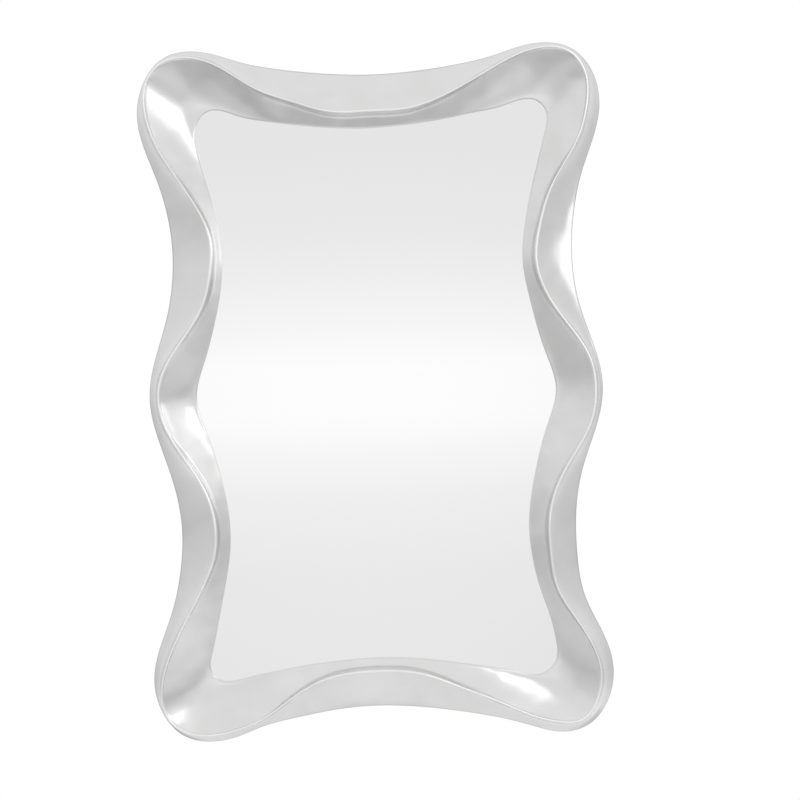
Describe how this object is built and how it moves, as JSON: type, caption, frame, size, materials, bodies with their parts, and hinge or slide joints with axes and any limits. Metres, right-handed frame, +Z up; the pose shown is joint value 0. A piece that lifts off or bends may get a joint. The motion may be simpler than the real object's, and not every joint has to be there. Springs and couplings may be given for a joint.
{
  "type": "wall mirror",
  "caption": "Tall wall mirror in a wavy sculpted silver frame with a rolled crest, a closed back and swinging ring hangers.",
  "frame": {"origin": "middle of the mirror on the wall plane, where the pads meet the wall", "axes": "+X to the viewer's right, +Z up, the front looks along -Y and the wall lies at y = 0"},
  "size_m": [0.8008, 0.0601, 1.1989],
  "materials": {
    "silver_lacquer": "silver lacquer on a rigid polyurethane moulding, satin gloss",
    "mirror": "silvered float glass",
    "board": "bare fibreboard",
    "foam": "closed-cell foam tape",
    "strap_steel": "zinc plated",
    "ring_steel": "nickel plated",
    "screw_steel": "zinc plated",
    "felt": "grey felt"
  },
  "bodies": {
    "mirror": {"frame_moulding": "silver_lacquer", "mirror_glass": "mirror", "backing_board": "board", "packing_strip_top": "foam", "packing_strip_bottom": "foam", "packing_strip_left": "foam", "packing_strip_right": "foam", "hanger_strap_left": "strap_steel", "hanger_strap_right": "strap_steel", "hanger_strap_top": "strap_steel", "hanger_strap_bottom": "strap_steel", "hanger_screws": "screw_steel", "board_screws": "screw_steel", "wall_pad_top_right": "felt", "wall_pad_bottom_right": "felt", "wall_pad_bottom_left": "felt", "wall_pad_top_left": "felt"},
    "ring_left": {"hanger_ring_left": "ring_steel"},
    "ring_right": {"hanger_ring_right": "ring_steel"},
    "ring_top": {"hanger_ring_top": "ring_steel"},
    "ring_bottom": {"hanger_ring_bottom": "ring_steel"}
  },
  "joints": [
    {"name": "ring_left_swing", "type": "hinge", "parent": "mirror", "child": "ring_left", "pos_m": [-0.2756, -0.0066, 0.30624], "axis": [1, 0, 0], "range_deg": [0, 180]},
    {"name": "ring_right_swing", "type": "hinge", "parent": "mirror", "child": "ring_right", "pos_m": [0.27558, -0.0066, 0.30605], "axis": [1, 0, 0], "range_deg": [0, 180]},
    {"name": "ring_top_swing", "type": "hinge", "parent": "mirror", "child": "ring_top", "pos_m": [-0.20087, -0.0066, 0.48472], "axis": [0, 0, 1], "range_deg": [0, 180]},
    {"name": "ring_bottom_swing", "type": "hinge", "parent": "mirror", "child": "ring_bottom", "pos_m": [-0.20166, -0.0066, -0.487], "axis": [0, 0, 1], "range_deg": [0, 180]}
  ]
}
